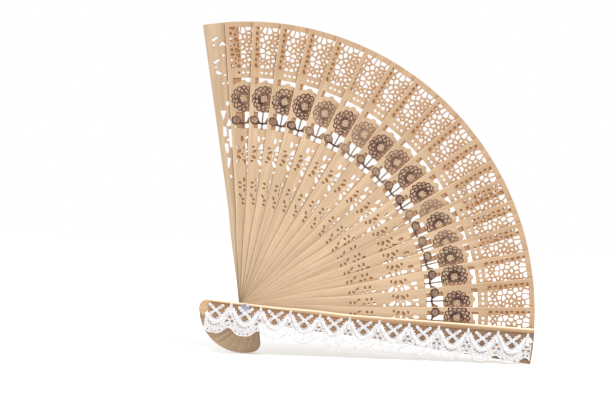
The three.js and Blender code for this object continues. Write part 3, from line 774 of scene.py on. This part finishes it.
# Lace
# A strip of white cotton lace with pointed heads and a scalloped hem, machine-made in one repeat along its
# length and glued to the front guard. A thick padded trail waves from point to point, with a cross of
# plaited bars in each bay.
LACE_WIDTH = 21.8
LACE_REPEAT = 20.35
LACE_START = -26.2
LACE_END = 197.6
FIRST_PEAK = -29.55
PEAK_RISE_HEAD = 3.6
PEAK_RISE_TIP = 9.1
TRAIL_DROP = 14.1
TRAIL_HALF = 1.75
HEM_NOTCH = 4.6
TREE_BASE = 7.0
EDGE_GAP = 0.5
CROSS_DEPTH = 6.2
CROSS_ARMS = ((5.2, 2.0), (5.4, 10.4))
RIVET_LIFT = 1.0
RIVET_REACH = 5.2
GROUND_COLUMNS = 22
GROUND_ROWS = 9
GROUND_THICKNESS = 0.35
GROUND_THREAD = 0.27
POINT_EYELETS = ((0, 10.0), (-1.85, 12.5), (1.85, 12.5))
EYELET_HALF_WIDTH = 0.95
EYELET_HALF_DEPTH = 0.62
DASH_DEPTH = 1.0
HEM_BORDER = 0.9
GLUE_GAP = 0.05
LACE_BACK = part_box("front_guard")[0].y / MM - GLUE_GAP
PEAK_COUNT = 12
HEM_STEP = 0.8


def lace_point(along, deep):
    """A point of the lace on the upright guard, from its place along the strip and below the points."""
    share = (along - LACE_START) / (LACE_END - LACE_START)
    rise = PEAK_RISE_HEAD + (PEAK_RISE_TIP - PEAK_RISE_HEAD) * share ** 2
    return Vector((deep - rise, 0, along))


def trail_depth(along):
    """How deep the middle of the padded trail lies, from each point of the lace down and up to the next."""
    share = ((along - FIRST_PEAK) / LACE_REPEAT) % 1.0
    return TRAIL_DROP * math.sin(math.pi * share) ** 0.85


def beside_trail(along, offset):
    """A point beside the trail's middle line, square to it, below it where the offset is positive."""
    slope = (trail_depth(along + 0.1) - trail_depth(along - 0.1)) / 0.2
    length = math.hypot(1, slope)
    return along - slope * offset / length, trail_depth(along) + offset / length


def hem_depth(along):
    """How deep the hem lies: a broad lobe between two points, and a notch under each."""
    share = (along - FIRST_PEAK) / LACE_REPEAT
    return LACE_WIDTH - HEM_NOTCH * math.cos(math.pi * share) ** 4


def in_strip(runs):
    """Cuts runs of thread to the strip's two ends."""
    kept = []
    for run in runs:
        inside = [step for step in run if LACE_START <= step[0] <= LACE_END]
        if len(inside) > 1:
            kept.append(inside)
    return kept


def threads(name, runs, squash, lift, roundness):
    """Cotton threads along runs of place, depth and half width, pressed flat on the guard's face."""
    curve = bpy.data.curves.new(name, "CURVE")
    curve.dimensions = "3D"
    curve.bevel_depth = 1.0
    curve.bevel_resolution = roundness
    curve.use_fill_caps = True
    for run in in_strip(runs):
        spline = curve.splines.new("POLY")
        spline.points.add(len(run) - 1)
        for point, (along, deep, half) in zip(spline.points, run):
            flat = lace_point(along, deep)
            over_rivet = max(0.0, 1 - (flat.length / RIVET_REACH) ** 2)
            point.co = (flat.x, -over_rivet * RIVET_LIFT / squash, flat.z, 1.0)
            point.radius = half
    maker = bpy.data.objects.new(name, curve)
    bpy.context.collection.objects.link(maker)
    mesh = bpy.data.meshes.new_from_object(maker.evaluated_get(bpy.context.evaluated_depsgraph_get()))
    bpy.data.objects.remove(maker)
    bpy.data.curves.remove(curve)
    mesh.name = name
    mesh.transform(Matrix.Translation((0, LACE_BACK - lift, 0)) @ Matrix.Diagonal((1, squash, 1, 1)))
    mesh.transform(upright("front_guard"))
    mesh.shade_smooth()
    return mesh


def lace_piece(mesh, material):
    """Glues a made part of the lace to the front guard."""
    mesh.materials.clear()
    mesh.materials.append(material)
    piece = bpy.data.objects.new(mesh.name, mesh)
    bpy.context.collection.objects.link(piece)
    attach(piece, "front_guard")
    return piece


cotton = new_material("white lace cotton")
cotton_tree = cotton.node_tree
cotton_place = add(cotton_tree, "ShaderNodeTexCoord").outputs["Object"]
yarn = noise(cotton_tree, cotton_place, 2200.0, 2.0)
stitch_inputs = {"Vector": cotton_place, "Scale": 1300.0}
stitched = add(cotton_tree, "ShaderNodeTexVoronoi", stitch_inputs).outputs["Distance"]
relief = calc(cotton_tree, "SUBTRACT", calc(cotton_tree, "MULTIPLY", yarn, 0.5), stitched)
# Painted shade: the cotton darkens in the hollows between its stitches.
painted_hollow_shade = fade(cotton_tree, stitched, 0.2, 0.75)
cotton_colour = mixed(cotton_tree, painted_hollow_shade, tint(218, 217, 218), tint(180, 177, 178))
cotton_shader = cotton_tree.nodes["Principled BSDF"]
cotton_tree.links.new(cotton_colour, cotton_shader.inputs["Base Color"])
cotton_tree.links.new(fade(cotton_tree, yarn, 0.3, 0.7, 0.8, 0.95), cotton_shader.inputs["Roughness"])
cotton_bump = add(cotton_tree, "ShaderNodeBump", {"Height": relief, "Strength": 0.5, "Distance": 0.2 * MM})
cotton_tree.links.new(cotton_bump.outputs[0], cotton_shader.inputs["Normal"])
cotton_shader.inputs["Sheen Weight"].default_value = 0.25
cotton_shader.inputs["Specular IOR Level"].default_value = 0.2

peaks = [FIRST_PEAK + LACE_REPEAT * number for number in range(PEAK_COUNT + 1)]


def lace_ground():
    """The close net between the trail and the hem, with larger eyelets under the points and the trail."""
    bm = bmesh.new()
    length = LACE_REPEAT * PEAK_COUNT
    bmesh.ops.create_grid(bm, x_segments=GROUND_COLUMNS * PEAK_COUNT, y_segments=GROUND_ROWS, size=1)
    for vert in bm.verts:
        along = FIRST_PEAK + length * (vert.co.x + 1) / 2
        top = max(trail_depth(along), TREE_BASE)
        vert.co = (along, top + (hem_depth(along) - top) * (vert.co.y + 1) / 2, 0)
    eyelets = [(peak + across, deep) for peak in peaks for across, deep in POINT_EYELETS]
    punched = []
    close = []
    for face in bm.faces:
        along, deep, _ = face.calc_center_median()
        column = math.floor((along - FIRST_PEAK) / LACE_REPEAT * GROUND_COLUMNS)
        under_trail = deep - trail_depth(along)
        over_hem = hem_depth(along) - deep
        dash = column % 2 == 0 and TRAIL_HALF < under_trail < TRAIL_HALF + DASH_DEPTH
        slit = column % 3 == 0 and HEM_BORDER < over_hem < 2 * HEM_BORDER
        eyelet = any(abs(along - at) < EYELET_HALF_WIDTH and abs(deep - to) < EYELET_HALF_DEPTH
                     for at, to in eyelets)
        if dash or slit or eyelet:
            punched.append(face)
        elif over_hem > HEM_BORDER:
            close.append(face)
    bmesh.ops.inset_individual(bm, faces=close, thickness=GROUND_THREAD, use_even_offset=True)
    bmesh.ops.delete(bm, geom=punched + close, context="FACES_ONLY")
    for end, outwards in ((LACE_START, -1), (LACE_END, 1)):
        whole = bm.verts[:] + bm.edges[:] + bm.faces[:]
        bmesh.ops.bisect_plane(
            bm, geom=whole, plane_co=(end, 0, 0), plane_no=(outwards, 0, 0), clear_outer=True)
    for vert in bm.verts:
        vert.co = lace_point(vert.co.x, vert.co.y)
    sheet = bmesh.ops.extrude_face_region(bm, geom=bm.faces[:])["geom"]
    front = [part for part in sheet if isinstance(part, bmesh.types.BMVert)]
    bmesh.ops.translate(bm, vec=(0, -GROUND_THICKNESS, 0), verts=front)
    bmesh.ops.delete(bm, geom=[edge for edge in bm.edges if not edge.link_faces], context="EDGES")
    bmesh.ops.recalc_face_normals(bm, faces=bm.faces)
    mesh = bpy.data.meshes.new("lace_ground")
    bm.to_mesh(mesh)
    bm.free()
    mesh.transform(Matrix.Translation((0, LACE_BACK, 0)))
    mesh.transform(upright("front_guard"))
    return mesh


def swell(share):
    """How the trail fills out from a point of the lace to its middle."""
    return 0.45 + 0.55 * math.sin(math.pi * share) ** 0.6


def along_repeat(peak, first, last, count):
    """Places spread evenly over a part of one repeat, with their share of it."""
    for step in range(count + 1):
        share = first + (last - first) * step / count
        yield peak + LACE_REPEAT * share, share


def plait(start, end):
    """A bar of three loose threads side by side, with small picots along it."""
    reach = Vector(end) - Vector(start)
    square = Vector((-reach.y, reach.x)).normalized()
    runs = []
    for offset in (-1, 0, 1):
        run = []
        for share, spread in ((0.0, 0.3), (0.25, 0.66), (0.5, 0.74), (0.75, 0.68), (1.0, 0.35)):
            place = Vector(start) + reach * share + square * offset * spread
            run.append((*place, 0.33))
        runs.append(run)
    for share in (0.45, 0.8):
        for offset in (-1, 1):
            inner = Vector(start) + reach * share + square * offset * 0.6
            outer = Vector(start) + reach * (share + 0.06) + square * offset * 1.35
            runs.append([(*inner, 0.26), (*outer, 0.3)])
    return runs


trail_runs = []
line_runs = []
stitch_runs = []
bar_runs = []
for peak in peaks[:-1]:
    padded = along_repeat(peak, 0.06, 0.94, 22)
    trail_runs.append([(at, trail_depth(at), TRAIL_HALF * swell(share)) for at, share in padded])
    inner_edge = -TRAIL_HALF - EDGE_GAP
    edged = along_repeat(peak, 0.2, 0.8, 20)
    line_runs.append([(*beside_trail(at, inner_edge), 0.24) for at, _ in edged])
    for at, _ in along_repeat(peak, 0.22, 0.78, 8):
        on_trail = beside_trail(at, -TRAIL_HALF + 0.3)
        stitch_runs.append([(*beside_trail(at, inner_edge), 0.22), (*on_trail, 0.22)])
    middle = peak + LACE_REPEAT / 2
    for side in (-1, 1):
        for arm_reach, arm_depth in CROSS_ARMS:
            bar_runs += plait((middle, CROSS_DEPTH), (middle + side * arm_reach, arm_depth))
        for share in (0.12, 0.17, 0.22, 0.27, 0.32):
            at = middle + side * LACE_REPEAT * (0.5 - share)
            on_trail = beside_trail(at, -0.6)
            stitch_runs.append([(*on_trail, 0.3), (*beside_trail(at, inner_edge), 0.34)])
for peak in peaks:
    trail_runs.append([(peak, 0.2, 0.3), (peak + 0.01, 3.0, 0.6), (peak, 6.0, 1.0), (peak + 0.01, 8.6, 1.5)])
    for level in range(5):
        for side in (-1, 1):
            twig_end = (peak + side * (0.7 + level * 0.4), 1.4 + level * 1.35, 0.42)
            line_runs.append([(peak, 0.3 + level * 1.2, 0.4), twig_end])
hem_steps = round((LACE_END - LACE_START) / HEM_STEP)
hem_places = [LACE_START + (LACE_END - LACE_START) * step / hem_steps for step in range(hem_steps + 1)]
line_runs.append([(at, hem_depth(at) - 0.35, 0.4) for at in hem_places])
for at in hem_places[1::2]:
    stitch_runs.append([(at, hem_depth(at) - 0.4, 0.3), (at + 0.2, hem_depth(at) + 0.1, 0.3)])

ground = lace_piece(lace_ground(), cotton)
trail = lace_piece(threads("lace_trail", trail_runs, 0.34, 0.3, 2), cotton)
bars = lace_piece(threads("lace_bars", bar_runs, 0.5, 0.35, 1), cotton)
lines = lace_piece(threads("lace_lines", line_runs, 0.9, 0.45, 1), cotton)
stitches = lace_piece(threads("lace_stitches", stitch_runs, 0.9, 0.4, 0), cotton)
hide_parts("lace_trim")


# Studio
# A plain pale floor under the fan's lowest point, a white room, one large soft lamp from above and a camera
# that looks straight at the spread, rolled a little as the photograph is.
PHOTO_WIDTH = 612
PHOTO_SCALE = 0.69
VIEW_CENTRE = Vector((39.7, 0, 73.6)) * MM
VIEW_DISTANCE = 1.0
ROLL = math.radians(1.9)
FLOOR_GAP = 0.2 * MM

low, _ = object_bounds()
floor_mesh = bpy.data.meshes.new("floor")
bm = bmesh.new()
bmesh.ops.create_grid(bm, x_segments=1, y_segments=1, size=3)
bmesh.ops.translate(bm, vec=(0, 0, low.z - FLOOR_GAP), verts=bm.verts)
bm.to_mesh(floor_mesh)
bm.free()
floor_paper = new_material("pale floor")
floor_shader = floor_paper.node_tree.nodes["Principled BSDF"]
floor_shader.inputs["Base Color"].default_value = tint(240, 240, 239)
floor_shader.inputs["Roughness"].default_value = 0.9
floor_shader.inputs["Emission Color"].default_value = (1, 1, 1, 1)
floor_shader.inputs["Emission Strength"].default_value = 0.15
floor_mesh.materials.append(floor_paper)
floor = bpy.data.objects.new("floor", floor_mesh)
bpy.context.collection.objects.link(floor)

room = bpy.data.worlds.new("white room")
room.use_nodes = True
room_light = room.node_tree.nodes["Background"]
room_light.inputs["Color"].default_value = (1, 1, 1, 1)
room_light.inputs["Strength"].default_value = 1.0
bpy.context.scene.world = room
bpy.context.scene.view_settings.view_transform = "Standard"

lamp_data = bpy.data.lights.new("soft lamp", "AREA")
lamp_data.shape = "DISK"
lamp_data.size = 1.6
lamp_data.energy = 150
lamp = bpy.data.objects.new("soft lamp", lamp_data)
lamp.location = (2.2, -2.2, 2.6)
lamp.rotation_euler = (VIEW_CENTRE - lamp.location).to_track_quat("-Z", "Y").to_euler()
bpy.context.collection.objects.link(lamp)

camera_data = bpy.data.cameras.new("photo camera")
camera_data.lens = camera_data.sensor_width * VIEW_DISTANCE / (PHOTO_WIDTH * PHOTO_SCALE * MM)
camera_data.clip_end = 50
camera = bpy.data.objects.new("photo camera", camera_data)
camera.matrix_world = (
    Matrix.Translation(VIEW_CENTRE + Vector((0, -VIEW_DISTANCE, 0)))
    @ Matrix.Rotation(-ROLL, 4, "Y") @ Matrix.Rotation(math.pi / 2, 4, "X"))
bpy.context.collection.objects.link(camera)
bpy.context.scene.camera = camera
